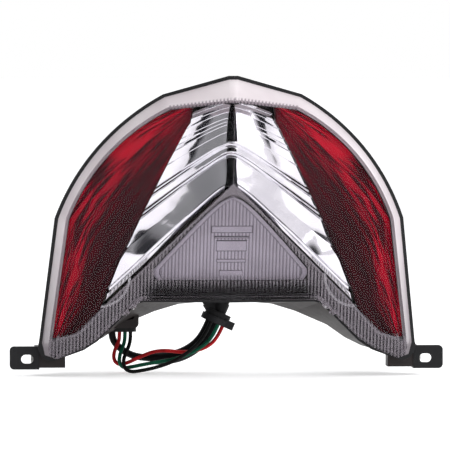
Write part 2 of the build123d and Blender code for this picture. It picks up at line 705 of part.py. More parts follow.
# Cords: route points chosen by hand, from the boot or the trunk's end to the piece that each one enters
routes = {
    "leg_sleeve_right": (right_leg_diameter, (
        (-0.4, 26, 31.25), (3.8, 26, 40.87), (8, 24.2, 50.2), (11.8, 20.8, 59.2), (14, 17.5, 68), (14, 17.5, 77),
    )),
    "leg_sleeve_left": (left_leg_diameter, (
        (-9.3, 26, 31.48), (-14.07, 26, 39.11), (-18.3, 25.2, 47.2), (-21.6, 23.8, 55.7), (-23, 22, 64.8),
        (-23, 22, 73.4),
    )),
    "trunk_sleeve": (trunk_diameter, (
        (-6.99, 27.5, 19.93), (-10.79, 27.5, 11.22), (-17.3, 29, 4.3), (-25.7, 31, -0.2), (-35, 33, -1.9),
        (-42.4, 34.2, -1.56),
    )),
    "branch_tube": (branch_diameter, (
        (-42.4, 34.2, -1.56), (-48.5, 35.2, -1.27), (-54.3, 35.7, 0.3), (-59, 35.7, 3.1), (-63, 35.4, 6.8),
        (-65, 35, 10.7), (-65, 35, 14),
    )),
    "red_lead": (lead_diameter, (
        (-1.02, 23.5, 17.33), (-3.82, 23.5, 10.91), (-9.5, 23, 5.5), (-17.5, 22.7, 2.8), (-26, 22.5, 2.4),
        (-34.5, 22.6, 3.6), (-42.5, 23, 2.6), (-50, 24.2, -0.8), (-56.5, 25.8, -4), (-61.5, 27.2, -5.2),
        (-64.4, 28.2, -2.2), (-64, 29.2, 2.6), (-62, 30.4, 6.6), (-60.8, 31, 9.6), (-60.8, 31, 14),
    )),
    "green_lead": (lead_diameter, (
        (-3.77, 20.4, 18.53), (-6.57, 20.4, 12.11), (-12, 20.4, 6.3), (-20, 20.4, 1.6), (-28.5, 20.5, -1.4),
        (-37.5, 21, -3), (-46, 21.8, -4.4), (-53.5, 22.9, -6), (-58.6, 23.6, -6.9), (-61.4, 24.2, -4),
        (-60.8, 26, 1.2), (-58.8, 28.8, 5.6), (-57.6, 30.4, 9.4), (-57.6, 30.4, 14),
    )),
    "black_lead": (lead_diameter, (
        (-7.9, 20.4, 20.33), (-10.3, 20.4, 14.83), (-15, 18.6, 8), (-22.5, 17.2, 1.6), (-31, 17, -3.2),
        (-40, 17.4, -6.2), (-48.5, 18.4, -8), (-54.4, 19.8, -9), (-58.4, 21.4, -7), (-59, 23, -2),
        (-57, 25.2, 2.6), (-55.2, 28, 6.4), (-54.4, 30, 10), (-54.4, 30, 14),
    )),
}
for label, (diameter, points) in routes.items():
    spots = [Vector(*point) for point in points]
    radii = []
    for before, spot, after in zip(spots, spots[1:], spots[2:]):
        turn = radians((spot - before).get_angle(after - spot))
        radii.append(0.45 * min((spot - before).length, (after - spot).length) / tan(turn / 2))
    with BuildPart() as tube:
        with BuildLine() as route:
            FilletPolyline(*spots, radius=radii)
        with BuildSketch(Plane(origin=spots[0], z_dir=spots[1] - spots[0])):
            Circle(diameter / 2)
        sweep(path=route.line)
    write(tube, label)
    length = sum(edge.length for edge in route.edges())
    share = tube.part.volume / (pi * diameter**2 / 4 * length)
    print(f"{label}: length {length:.1f}, volume share {share:.3f}, radii", [round(radius, 1) for radius in radii])
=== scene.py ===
"""Motorcycle tail light: a clear outer lens over red inner lenses, a chrome chevron reflector and a fluted window.

Metres, +Z up, +X to the right as seen by a rider behind, origin midway between the holes of the two mounting tabs.
"""

import bmesh
import bpy
import numpy as np
from math import cos, pi, radians, sin
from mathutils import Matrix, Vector


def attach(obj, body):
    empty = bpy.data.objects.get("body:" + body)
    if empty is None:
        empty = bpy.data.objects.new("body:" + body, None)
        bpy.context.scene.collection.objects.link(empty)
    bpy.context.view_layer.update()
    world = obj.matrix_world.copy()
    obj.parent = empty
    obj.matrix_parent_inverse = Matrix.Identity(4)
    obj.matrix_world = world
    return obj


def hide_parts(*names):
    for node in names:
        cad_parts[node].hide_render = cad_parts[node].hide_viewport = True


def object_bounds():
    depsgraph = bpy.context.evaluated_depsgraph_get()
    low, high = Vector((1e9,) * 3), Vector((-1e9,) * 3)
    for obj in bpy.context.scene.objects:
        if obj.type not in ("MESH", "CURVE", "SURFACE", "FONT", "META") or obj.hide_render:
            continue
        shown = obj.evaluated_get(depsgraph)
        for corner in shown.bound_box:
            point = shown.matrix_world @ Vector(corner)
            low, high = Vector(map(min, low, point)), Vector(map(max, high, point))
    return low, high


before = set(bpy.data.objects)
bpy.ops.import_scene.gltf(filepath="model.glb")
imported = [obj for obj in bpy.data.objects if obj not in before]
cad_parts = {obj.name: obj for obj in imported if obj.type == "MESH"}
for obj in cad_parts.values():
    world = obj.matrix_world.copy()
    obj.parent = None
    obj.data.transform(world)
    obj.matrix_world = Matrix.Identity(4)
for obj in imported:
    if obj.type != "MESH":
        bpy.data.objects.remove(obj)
cad_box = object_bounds()

# Studio: a pale card under the lamp, one large soft light on the right, a weaker one on the left, one overhead and
# one behind, and a pale surround that is dark only straight in front, where the camera stands.
light_middle = Vector((-0.0009, 0.0, 0.0775))
camera_turn, camera_rise = radians(-3.5), radians(2.3)
camera_distance = 4.0
frame_width = 0.261
camera_data = bpy.data.cameras.new("camera")
camera_data.lens = camera_data.sensor_width * camera_distance / frame_width
camera = bpy.data.objects.new("camera", camera_data)
camera.location = light_middle + camera_distance * Vector((
    sin(camera_turn) * cos(camera_rise), -cos(camera_turn) * cos(camera_rise), sin(camera_rise)))
camera.rotation_euler = (radians(90) - camera_rise, 0.0, camera_turn)
bpy.context.scene.collection.objects.link(camera)
bpy.context.scene.camera = camera
bpy.context.scene.view_settings.view_transform = "Standard"


class Wire:
    """One output of a node. Ordinary sums on it add Math nodes."""

    def __init__(self, finish, socket):
        self.finish, self.socket = finish, socket

    def worked(self, operation, first, second):
        return self.finish.node("ShaderNodeMath", {"operation": operation}, {0: first, 1: second})

    def __add__(self, other):
        return self.worked("ADD", self, other)

    def __sub__(self, other):
        return self.worked("SUBTRACT", self, other)

    def __rsub__(self, other):
        return self.worked("SUBTRACT", other, self)

    def __mul__(self, other):
        return self.worked("MULTIPLY", self, other)

    __radd__ = __add__
    __rmul__ = __mul__


class Finish:
    """A node tree. node() adds any node: its settings first, then the values or wires of its inputs."""

    def __init__(self, tree):
        self.tree = tree

    def node(self, kind, settings=(), inputs=(), output=0):
        node = self.tree.nodes.new(kind)
        for label, value in dict(settings).items():
            if label == "stops":
                ramp = node.color_ramp
                for place, colour in value[2:]:
                    ramp.elements.new(place)
                for element, (place, colour) in zip(ramp.elements, sorted(value)):
                    element.position, element.color = place, (*colour, 1.0)
            else:
                setattr(node, label, value)
        for label, value in dict(inputs).items():
            self.join(node.inputs[label], value)
        return Wire(self, node.outputs[output])

    def join(self, socket, value):
        if isinstance(value, Wire):
            self.tree.links.new(value.socket, socket)
        else:
            socket.default_value = value

    def spot(self, scale=(1.0, 1.0, 1.0), source="Object"):
        """Coordinates, scaled."""
        place = self.node("ShaderNodeTexCoord", output=source)
        return self.node("ShaderNodeMapping", {}, {"Vector": place, "Scale": scale})

    def parts(self, vector):
        """The three numbers of a vector."""
        split = self.node("ShaderNodeSeparateXYZ", {}, {0: vector})
        return [Wire(self, output) for output in split.socket.node.outputs]

    def noise(self, vector, scale, detail=2.0, roughness=0.5):
        return self.node("ShaderNodeTexNoise", {}, {
            "Vector": vector, "Scale": scale, "Detail": detail, "Roughness": roughness})

    def between(self, value, low, high):
        """0 below low and 1 above high, with a smooth rise from one to the other; the other way with low > high."""
        return self.node("ShaderNodeMapRange", {"interpolation_type": "SMOOTHSTEP"}, {
            "Value": value, "From Min": low, "From Max": high})

    def mix(self, share, first, second):
        """Two colours, or wires of colours, mixed."""
        first, second = [(*c, 1.0) if isinstance(c, tuple) and len(c) == 3 else c for c in (first, second)]
        return self.node("ShaderNodeMix", {"data_type": "RGBA"}, {0: share, 6: first, 7: second}, output=2)

    def bump(self, height, depth):
        """Relief: height 0 to 1, that many metres deep."""
        return self.node("ShaderNodeBump", {}, {"Height": height, "Strength": 1.0, "Distance": depth})


class Coat(Finish):
    """A piece's material, made on one Principled shader whose constants are given by name."""

    def __init__(self, name, **constants):
        self.material = bpy.data.materials.new(name)
        self.material.use_nodes = True
        super().__init__(self.material.node_tree)
        self.shader = self.tree.nodes["Principled BSDF"]
        self.output = self.tree.nodes["Material Output"]
        self.feed(**constants)

    def feed(self, **inputs):
        """Gives the shader's inputs values or wires. An underscore in a name stands for a space."""
        for label, value in inputs.items():
            if isinstance(value, tuple) and len(value) == 3 and label != "Normal":
                value = (*value, 1.0)
            self.join(self.shader.inputs[label.replace("_", " ")], value)


surround = bpy.data.worlds.new("surround")
surround.use_nodes = True
bpy.context.scene.world = surround
sky = Finish(surround.node_tree)
across, away, up = sky.parts(sky.node("ShaderNodeTexCoord", output="Generated"))
side_glow = sky.mix(sky.between(across, -0.75, 0.35), (0.24, 0.25, 0.25), (1.0, 1.0, 1.02))
camera_gap = sky.between(0.0 - away, 0.84, 0.92) * sky.between(up, 0.5, 0.15)
seen_glow = sky.mix(camera_gap, side_glow, (0.02, 0.02, 0.024))
behind_lamp = sky.node("ShaderNodeLightPath", output="Is Camera Ray")
sky.join(surround.node_tree.nodes["Background"].inputs["Color"], sky.mix(behind_lamp, seen_glow, (1.0, 1.0, 1.0)))

card_side = 9.0
card_corners = [(-card_side, -card_side), (card_side, -card_side), (card_side, card_side), (-card_side, card_side)]
card_mesh = bpy.data.meshes.new("card")
card_mesh.from_pydata([(x, y, cad_box[0][2]) for x, y in card_corners], [], [(0, 1, 2, 3)])
card = bpy.data.objects.new("card", card_mesh)
bpy.context.scene.collection.objects.link(card)
card_coat = Coat("card", Roughness=0.9, Base_Color=(0.86, 0.86, 0.86), Specular_IOR_Level=0.1)
card_coat.feed(Emission_Color=(1.0, 1.0, 1.0), Emission_Strength=0.46)
card_mesh.materials.append(card_coat.material)

for label, place, size, brightness in (
        ("soft_light_right", (1.1, -0.9, 0.75), 1.1, 1.5),
        ("soft_light_left", (-1.2, -0.7, 0.5), 0.8, 0.5),
        ("soft_light_above", (0.0, -0.25, 1.4), 1.2, 1.3),
        ("soft_light_behind", (0.3, 1.3, 1.1), 1.0, 0.9)):
    lamp_data = bpy.data.lights.new(label, "AREA")
    lamp_data.size = size
    lamp_data.energy = brightness * pi * size**2
    lamp = bpy.data.objects.new(label, lamp_data)
    lamp.location = place
    lamp.rotation_euler = (light_middle - Vector(place)).to_track_quat("-Z", "Y").to_euler()
    bpy.context.scene.collection.objects.link(lamp)


# Cords: a trunk sleeve leaves the rubber boot below the lamp and narrows to one branch tube that goes up into the
# lead grommet. Three bare leads loop beside it. Two sleeves rise from the boot, one into the housing and one to the
# plug. All are vinyl, held by the boot, the grommets and a cable tie.
def sleeve_coat(name, colour, ring_pitch):
    """Soft vinyl: a faint sheen, handling marks and slight rings from the extruder."""
    coat = Coat(name, Roughness=0.42, Specular_IOR_Level=0.12)
    spot = coat.spot()
    blotch = coat.noise(spot, 160.0, 3.0)
    dark = tuple(0.55 * part for part in colour)
    coat.feed(Base_Color=coat.mix(coat.between(blotch, 0.35, 0.7), dark, colour))
    coat.feed(Roughness=0.30 + 0.28 * coat.noise(spot, 420.0, 2.0))
    rings = coat.noise(spot, ring_pitch, 2.0)
    coat.feed(Normal=coat.bump(rings, 0.00018))
    return coat.material


sleeve_black = sleeve_coat("sleeve_black", (0.006, 0.006, 0.007), 700.0)
lead_red = sleeve_coat("lead_red", (0.62, 0.015, 0.020), 900.0)
lead_green = sleeve_coat("lead_green", (0.006, 0.115, 0.060), 900.0)
lead_black = sleeve_coat("lead_black", (0.006, 0.006, 0.006), 900.0)

cords = {
    "cord_sleeve_right": ("leg_sleeve_right", 0.0070, 0.0497, "object", sleeve_black, "sleeve", (
        (-0.4, 26, 31.25), (3.8, 26, 40.87), (8, 24.2, 50.2), (11.8, 20.8, 59.2), (14, 17.5, 68), (14, 17.5, 77))),
    "cord_sleeve_left": ("leg_sleeve_left", 0.0060, 0.0453, "connector", sleeve_black, "sleeve", (
        (-9.3, 26, 31.48), (-14.07, 26, 39.11), (-18.3, 25.2, 47.2), (-21.6, 23.8, 55.7), (-23, 22, 64.8),
        (-23, 22, 73.4))),
    "cord_trunk": ("trunk_sleeve", 0.0076, 0.0457, "bare", sleeve_black, "sleeve", (
        (-6.99, 27.5, 19.93), (-10.79, 27.5, 11.22), (-17.3, 29, 4.3), (-25.7, 31, -0.2), (-35, 33, -1.9),
        (-42.4, 34.2, -1.56))),
    "cord_branch": ("branch_tube", 0.0042, 0.0306, "object", sleeve_black, "sleeve", (
        (-42.4, 34.2, -1.56), (-48.5, 35.2, -1.27), (-54.3, 35.7, 0.3), (-59, 35.7, 3.1), (-63, 35.4, 6.8),
        (-65, 35, 10.7), (-65, 35, 14))),
    "cord_lead_red": ("red_lead", 0.0022, 0.0896, "object", lead_red, "red_wire", (
        (-1.02, 23.5, 17.33), (-3.82, 23.5, 10.91), (-9.5, 23, 5.5), (-17.5, 22.7, 2.8), (-26, 22.5, 2.4),
        (-34.5, 22.6, 3.6), (-42.5, 23, 2.6), (-50, 24.2, -0.8), (-56.5, 25.8, -4), (-61.5, 27.2, -5.2),
        (-64.4, 28.2, -2.2), (-64, 29.2, 2.6), (-62, 30.4, 6.6), (-60.8, 31, 9.6), (-60.8, 31, 14))),
    "cord_lead_green": ("green_lead", 0.0022, 0.0870, "object", lead_green, "green_wire", (
        (-3.77, 20.4, 18.53), (-6.57, 20.4, 12.11), (-12, 20.4, 6.3), (-20, 20.4, 1.6), (-28.5, 20.5, -1.4),
        (-37.5, 21, -3), (-46, 21.8, -4.4), (-53.5, 22.9, -6), (-58.6, 23.6, -6.9), (-61.4, 24.2, -4),
        (-60.8, 26, 1.2), (-58.8, 28.8, 5.6), (-57.6, 30.4, 9.4), (-57.6, 30.4, 14))),
    "cord_lead_black": ("black_lead", 0.0022, 0.0861, "object", lead_black, "black_wire", (
        (-7.9, 20.4, 20.33), (-10.3, 20.4, 14.83), (-15, 18.6, 8), (-22.5, 17.2, 1.6), (-31, 17, -3.2),
        (-40, 17.4, -6.2), (-48.5, 18.4, -8), (-54.4, 19.8, -9), (-58.4, 21.4, -7), (-59, 23, -2),
        (-57, 25.2, 2.6), (-55.2, 28, 6.4), (-54.4, 30, 10), (-54.4, 30, 14))),
}
for label, (node, diameter, length, far_end, coat, slot, route) in cords.items():
    route = np.array(route) * 0.001
    curve = bpy.data.curves.new(label, "CURVE")
    curve.dimensions = "3D"
    curve.bevel_depth, curve.bevel_resolution, curve.resolution_u = diameter / 2, 5, 10
    curve.use_fill_caps = True
    spline = curve.splines.new("NURBS")
    spline.points.add(len(route) - 1)
    spline.points.foreach_set("co", np.column_stack([route, np.ones(len(route))]).ravel())
    spline.order_u, spline.use_endpoint_u = 3, True
    cord = bpy.data.objects.new(label, curve)
    bpy.context.scene.collection.objects.link(cord)
    curve.materials.append(coat)
    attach(cord, "root")
    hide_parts(node)
    ends = [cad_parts["connector"]] if far_end == "connector" else []


# Rear housing: one injection moulding in warm grey plastic, glossy outside, with the bulb bosses and plate lamp boss
# on its back, and the lens glued round its rim.
def dress(nodes, coat):
    """Gives nodes that keep their own shape a better material."""
    for node in nodes:
        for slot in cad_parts[node].material_slots:
            slot.material = coat.material


def moulded(name, colour, roughness, grain, relief):
    """Moulded plastic or rubber: fine grain relief, faint shade drift, and gloss that varies with handling."""
    coat = Coat(name, Specular_IOR_Level=0.18)
    spot = coat.spot()
    drift = coat.between(coat.noise(spot, 38.0, 3.0), 0.3, 0.75)
    darker, lighter = tuple(0.82 * part for part in colour), tuple(1.12 * part for part in colour)
    coat.feed(Base_Color=coat.mix(drift, darker, lighter))
    coat.feed(Roughness=(roughness - 0.07) + 0.16 * coat.noise(spot, 210.0, 3.0, 0.6))
    coat.feed(Normal=coat.bump(coat.noise(spot, grain, 3.0, 0.6), relief))
    return coat


housing_coat = moulded("housing_grey", (0.040, 0.035, 0.035), 0.42, 900.0, 0.00006)
housing_coat.feed(IOR=1.22)
dress(["rear_housing"], housing_coat)

# Lens seal: a bead of black sealant that bonds the lens to the housing's mouth. Its edge shows as the dark outline
# all round the lamp.
dress(["lens_seal"], moulded("seal_black", (0.012, 0.012, 0.013), 0.38, 1400.0, 0.00012))

# Chrome reflector: a vacuum-plated moulding in the shape of an upturned V, stepped in chevrons with rounded beads,
# held by four screws from behind. Each step's lower edge stands proud of the one below it.
half_width, height = 107.7, 163.8
mm = 0.001


def slant(start, sweep, lean, x, z):
    """Depth in mm of a slanted face folded at the centre line: start + sweep |x| - lean z."""
    return start + sweep * np.abs(x) - lean * z


def along(corners, shares):
    """Points at shares of a broken line's whole length, straight between its corners."""
    corners = np.array(corners, float)
    reach = np.concatenate(([0.0], np.cumsum(np.linalg.norm(np.diff(corners, axis=0), axis=1))))
    return np.stack([np.interp(shares, reach / reach[-1], column) for column in corners.T], axis=-1)


def in_mm(*shares):
    """Corners given as shares of the lamp's half width and height, in mm."""
    return np.array(shares, float) * (half_width, height)


def bow(start, middle, end, count):
    """count points on the circle through three points, from the first to the last."""
    start, middle, end = (complex(*point) for point in (start, middle, end))
    ratio = (end - start) / (middle - start)
    centre = (start - middle) * (ratio - abs(ratio) ** 2) / 2j / ratio.imag - start
    spokes = np.array([start, middle, end]) + centre
    angles = np.unwrap(np.angle(spokes))
    turns = np.exp(1j * np.linspace(angles[0], angles[2], count)) * abs(spokes[0]) - centre
    return np.column_stack([turns.real, turns.imag])


def surface_piece(name, grids, coat, node, body="root", wall=0.0, crease=32.0, attributes=None, bevel=0.0):
    """A sheet made of grids of points in mm, each rows x columns x 3, with a mirrored copy of each where asked.

    grids holds (points, mirrored) pairs. Grids meet by merging equal points. uv is (column share, row share).
    The faces are turned to point at the rider, and the wall grows away from them."""
    points, faces, marks, extra = [], [], [], []
    count = 0
    for index, (grid, mirrored) in enumerate(grids):
        for side in (1.0, -1.0) if mirrored else (1.0,):
            rows, columns = grid.shape[:2]
            points.append((grid * (side * mm, mm, mm)).reshape(-1, 3))
            first = count + (np.arange(rows - 1)[:, None] * columns + np.arange(columns - 1)).ravel()
            quad = np.stack([first, first + 1, first + columns + 1, first + columns], axis=1)
            faces.append(quad if side > 0 else quad[:, ::-1])
            v, u = np.meshgrid(np.linspace(0, 1, rows), np.linspace(0, 1, columns), indexing="ij")
            marks.append(np.stack([u, v], axis=-1).reshape(-1, 2))
            if attributes is not None:
                extra.append(attributes[index].reshape(-1))
            count += rows * columns
    points, faces, marks = np.concatenate(points), np.concatenate(faces), np.concatenate(marks)
    mesh = bpy.data.meshes.new(name)
    mesh.from_pydata(points.tolist(), [], faces.tolist())
    mesh.uv_layers.new(name="flow")
    mesh.uv_layers["flow"].data.foreach_set("uv", marks[faces.ravel()].astype(np.float32).ravel())
    if attributes is not None:
        band_values = np.concatenate(extra).astype(np.float32)
        mesh.attributes.new("band", "FLOAT", "POINT").data.foreach_set("value", band_values)
    build = bmesh.new()
    build.from_mesh(mesh)
    bmesh.ops.remove_doubles(build, verts=build.verts, dist=2e-6)
    bmesh.ops.dissolve_degenerate(build, dist=2e-6, edges=build.edges)
    if sum(face.normal.y * face.calc_area() for face in build.faces) > 0:
        bmesh.ops.reverse_faces(build, faces=build.faces)
    build.to_mesh(mesh)
    build.free()
    mesh.shade_smooth()
    mesh.set_sharp_from_angle(angle=radians(crease))
    piece = bpy.data.objects.new(name, mesh)
    bpy.context.scene.collection.objects.link(piece)
    mesh.materials.append(coat.material)
    if wall:
        solid = piece.modifiers.new("wall", "SOLIDIFY")
        solid.thickness, solid.offset = wall * mm, -1.0
    if bevel:
        edge = piece.modifiers.new("edge", "BEVEL")
        edge.width, edge.segments, edge.angle_limit = bevel * mm, 2, radians(50)
    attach(piece, body)
    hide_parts(node)
    return piece


chrome_coat = Coat("chrome_plate", Metallic=1.0)
spot = chrome_coat.spot()
haze = chrome_coat.noise(spot, 55.0, 4.0)
# A near-black strip down the centre line of the chevrons is a painted dark reflection in the base colour.
dark_reflection = chrome_coat.node("ShaderNodeAttribute", {"attribute_name": "band"}, output="Fac")
dark_reflection_share = chrome_coat.between(dark_reflection + 0.5 * chrome_coat.noise(spot, 260.0, 2.0), 0.55, 0.75)
plate = chrome_coat.mix(chrome_coat.between(haze, 0.3, 0.8), (0.80, 0.80, 0.83), (0.93, 0.93, 0.95))
chrome_coat.feed(Base_Color=chrome_coat.mix(dark_reflection_share, plate, (0.012, 0.012, 0.014)))
chrome_coat.feed(Roughness=0.035 + 0.07 * haze)
chrome_coat.feed(Normal=chrome_coat.bump(chrome_coat.noise(spot, 34.0, 2.0), 0.0009))

chevron_levels = np.array([149.5, 142.0, 136.0, 126.0, 119.0, 109.0, 99.9])
chevron_slopes = np.array([0.40, 0.50, 0.58, 0.70, 0.78, 0.90, 0.99])
chevron_round = 6.0
chrome_face = (-27.0, 0.19, 0.18)
chrome_foot = 99.9
step_relief = np.array([
    (154.0, 0.1), (149.7, 0.9), (149.4, 0.2), (147.0, 0.9), (146.7, 0.1), (144.6, 0.9), (144.2, 0.1), (141.2, 1.0),
    (140.8, 0.2), (139.2, 0.7), (138.8, 0.2), (137.4, 0.7), (137.0, 0.1), (133.2, 1.3), (132.8, 0.4), (127.3, 2.1),
    (126.8, 1.3), (126.1, 1.8), (125.4, 1.1), (124.7, 1.7), (124.0, 0.7), (121.6, 1.3), (121.1, 0.8), (120.4, 1.3),
    (119.7, 0.6), (119.0, 1.2), (118.2, 0.2), (103.9, 3.9), (103.0, 1.2), (102.2, 1.2), (101.6, 2.2), (99.9, 1.8)])
chrome_side = in_mm((0.205, 0.882), (0.225, 0.845), (0.242, 0.830), (0.334, 0.712), (0.434, 0.575), (0.508, 0.473),
                    (0.598, 0.357), (0.650, 0.261), (0.672, 0.196))


def chevron_drop(level, x):
    """How far a chevron line has come down at x: slope(level) (sqrt(x^2 + r^2) - r)."""
    slope = np.interp(level, chevron_levels[::-1], chevron_slopes[::-1])
    return slope * (np.sqrt(x**2 + chevron_round**2) - chevron_round)


side_points = along(chrome_side, np.linspace(0, 1, 400))
side_levels = side_points[:, 1].copy()
for _ in range(12):
    side_levels = side_points[:, 1] + chevron_drop(side_levels, side_points[:, 0])
levels = np.unique(np.concatenate([
    np.linspace(chrome_foot, side_levels.max(), 150), step_relief[:, 0].clip(chrome_foot, side_levels.max())]))[::-1]
end_x = np.interp(levels, side_levels[::-1], side_points[::-1, 0])
top_slope = (in_mm((0, 0.905))[0, 1] - chrome_side[0, 1]) / chrome_side[0, 0]
start_x = np.clip((levels - 148.2) / (0.42 - top_slope), 0.0, end_x)
shares = np.linspace(0, 1, 72) ** 1.6
x = start_x[:, None] + shares * (end_x - start_x)[:, None]
level = np.broadcast_to(levels[:, None], x.shape)
z = level - chevron_drop(level, x)
# Levels and half widths in mm of the painted dark reflection strip along the centre line; a width of 0 means none.
dark_reflection_widths = np.array([
    (99.9, 4.0), (102, 3.8), (105, 3.2), (110, 2.8), (117.9, 2.8), (118.2, 0.0), (121.6, 0.0), (121.9, 2.6),
    (123.6, 2.6), (124, 0.0), (127.3, 0.0), (127.6, 3.2), (134, 2.8), (143, 2.0), (149, 1.2)])
dark_reflection_width = np.interp(level, dark_reflection_widths[:, 0], dark_reflection_widths[:, 1])
dark_reflection_mark = np.clip((dark_reflection_width - x) / 0.5 + 0.5, 0.0, 1.0) * (dark_reflection_width > 0.3)
dimple_depth, dimple_x, dimple_z, dimple_spread = 3.3, 57.0, 61.0, 10.0
dimple = dimple_depth * np.exp(-((x - dimple_x) ** 2 + (z - dimple_z) ** 2) / (2 * dimple_spread**2))
lip = 0.11 * (end_x - start_x)[:, None] * np.clip((shares - 0.35) / 0.65, 0.0, 1.0) ** 2
lip = lip * np.clip((level - 112.0) / 25.0, 0.0, 1.0)
relief = np.interp(level, step_relief[::-1, 0], step_relief[::-1, 1]) + dimple + lip
y = slant(*chrome_face, x, z) - relief
surface_piece("chrome_chevrons", [(np.stack([x, y, z], axis=-1), True)], chrome_coat, "chrome_reflector",
              wall=1.4, crease=60.0, attributes=[dark_reflection_mark])


# Red inner lenses: one each side, pressed in deep red acrylic. Rays moulded behind the outer part catch the light in
# streaks along the lens, and these lit streaks are painted highlights in the base colour, which is also painted
# lighter towards the outer part and the tip and given painted shade at the edges; the inner part is a smooth bevel.
red_coat = Coat("red_acrylic", Specular_IOR_Level=0.06)
flow = red_coat.spot(source="UV")
flow_u, flow_v, _ = red_coat.parts(flow)
slanted = red_coat.node("ShaderNodeCombineXYZ", {}, {0: (flow_u - 0.75 * flow_v) * 17.0, 1: flow_v * 6.0})
streaks = red_coat.noise(slanted, 1.0, 3.0, 0.55)
patches = red_coat.noise(red_coat.spot((5.0, 6.0, 1.0), source="UV"), 1.0, 3.0)
outer_painted_light = red_coat.between(flow_u, 0.30, 0.85)
tip_painted_light = red_coat.between(flow_v, 0.55, 0.05)
streak_highlight = red_coat.between(streaks, 0.39, 0.60)
edge_shade = red_coat.between(flow_u, 0.0, 0.05) * red_coat.between(flow_v, 0.0, 0.025)
# The base colour's brightness is painted light: painted highlights in the streaks, lighter outer part and tip,
# painted shade at the edges, varied by random patches.
painted_light = (0.18 + streak_highlight * 0.76) * (0.22 + patches * 1.2) * (0.12 + outer_painted_light * 0.76 + tip_painted_light * 0.42) * edge_shade
painted_light_reds = red_coat.node("ShaderNodeValToRGB", {"stops": (
    (0.0, (0.016, 0.0035, 0.005)), (0.14, (0.045, 0.0030, 0.006)), (0.42, (0.19, 0.0020, 0.011)),
    (0.9, (0.52, 0.004, 0.020)))}, {0: painted_light})
red_coat.feed(Base_Color=painted_light_reds, Roughness=0.10 + 0.12 * patches)
red_coat.feed(Normal=red_coat.bump(streaks, 0.00010))
inner_side = in_mm((0.222, 0.905), (0.225, 0.845), (0.242, 0.830), (0.334, 0.712), (0.434, 0.575), (0.508, 0.473),
                   (0.598, 0.357), (0.650, 0.261), (0.690, 0.185), (0.768, 0.116), (0.805, 0.094), (0.850, 0.084))
red_face, red_skirt, red_edge_gap = (-41.0, 0.33, 0.22), 10.0, 2.1
outer_bow = bow(*in_mm((0.344, 0.897), (0.642, 0.752), (0.875, 0.503)), 30)
outer_side = np.concatenate([in_mm((0.240, 0.916)), outer_bow, in_mm((0.965, 0.085), (0.955, 0.076))])
shares = np.linspace(0, 1, 160)
inner, outer = along(inner_side, shares), along(outer_side, shares)
outer = outer - red_edge_gap * (outer - inner) / np.linalg.norm(outer - inner, axis=1, keepdims=True)
across = np.linspace(0, 1, 64)
flat = inner[:, None] + across[None, :, None] * (outer - inner)[:, None]
lift = np.interp(across, [0, 0.04, 0.36, 0.42, 0.5, 0.9, 1.0], [-0.8, 0.0, -0.7, 0.5, 0.9, 0.9, 0.0])
ray = 0.22 * np.abs(((across * 17.0) % 1.0) * 2 - 1) * np.interp(across, [0.42, 0.5], [0.0, 1.0])
y = slant(*red_face, flat[..., 0], flat[..., 1]) - (lift + ray)
face = np.stack([flat[..., 0], y, flat[..., 1]], axis=-1)
skirt = np.pad(face, ((1, 1), (1, 1), (0, 0)), mode="edge")
for edge in (skirt[0], skirt[-1], skirt[:, 0], skirt[:, -1]):
    edge[:, 1] = slant(*red_face, edge[:, 0], edge[:, 2]) + red_skirt
for side, node in ((1.0, "red_lens_right"), (-1.0, "red_lens_left")):
    placed = skirt * (side, 1.0, 1.0)
    surface_piece("inner_lens_right" if side > 0 else "inner_lens_left", [(placed, False)], red_coat,
                  node, wall=1.6, crease=40.0, bevel=0.35)

# Centre diffuser: a smoky acrylic insert behind the window, with upright flutes, a rounded bead round its edge and
# plain raised pads down its middle. It rests against the reflector's arms. Its colour carries painted shade, dark in
# the flute valleys, round the edges of the pads and in a thin line inside the bead.
diffuser_coat = Coat("smoky_acrylic", Specular_IOR_Level=0.5)
spot = diffuser_coat.spot()
# This attribute carries the painted shade that darkens the smoky colour.
flute_shade = diffuser_coat.node("ShaderNodeAttribute", {"attribute_name": "band"}, output="Fac")
cloud = diffuser_coat.between(diffuser_coat.noise(spot, 30.0, 3.0), 0.3, 0.75)
smoke = diffuser_coat.mix(cloud, (0.300, 0.275, 0.320), (0.400, 0.370, 0.430))
diffuser_coat.feed(Base_Color=diffuser_coat.mix(flute_shade, (0.030, 0.026, 0.034), smoke))
diffuser_coat.feed(Roughness=0.16 + 0.16 * diffuser_coat.noise(spot, 160.0, 3.0))
diffuser_coat.feed(Normal=diffuser_coat.bump(diffuser_coat.noise(spot, 300.0, 2.0), 0.00008))
flute_pitch = 2.0
diffuser_top, diffuser_slope, diffuser_round = 95.5, 1.16, 9.0
rows_z = np.concatenate([
    95.4 - 3.0 * np.linspace(0, 1, 8) ** 2, np.linspace(92.1, 50.9, 120), [50.2, 49.4, 48.6, 47.8, 47.3]])
edge_x = diffuser_round + (diffuser_top - rows_z) / diffuser_slope
edge_x = np.sqrt(np.maximum(edge_x**2 - diffuser_round**2, 0.0))
edge_x = np.minimum(edge_x, 44.2 - 1.1 * np.clip(50.9 - rows_z, 0, None) ** 1.3 * 0.35)
lattice = np.arange(0.0, 45.0, flute_pitch / 6)
x = np.minimum(lattice[None, :], edge_x[:, None])
z = np.broadcast_to(rows_z[:, None], x.shape)
border = (edge_x[:, None] - x) * 0.75
bead = np.clip(1.0 - ((border - 1.2) / 1.2) ** 2, 0.0, 1.0) ** 0.5
inside = np.clip((border - 2.4) / 0.4, 0.0, 1.0)
pads = np.zeros_like(x)
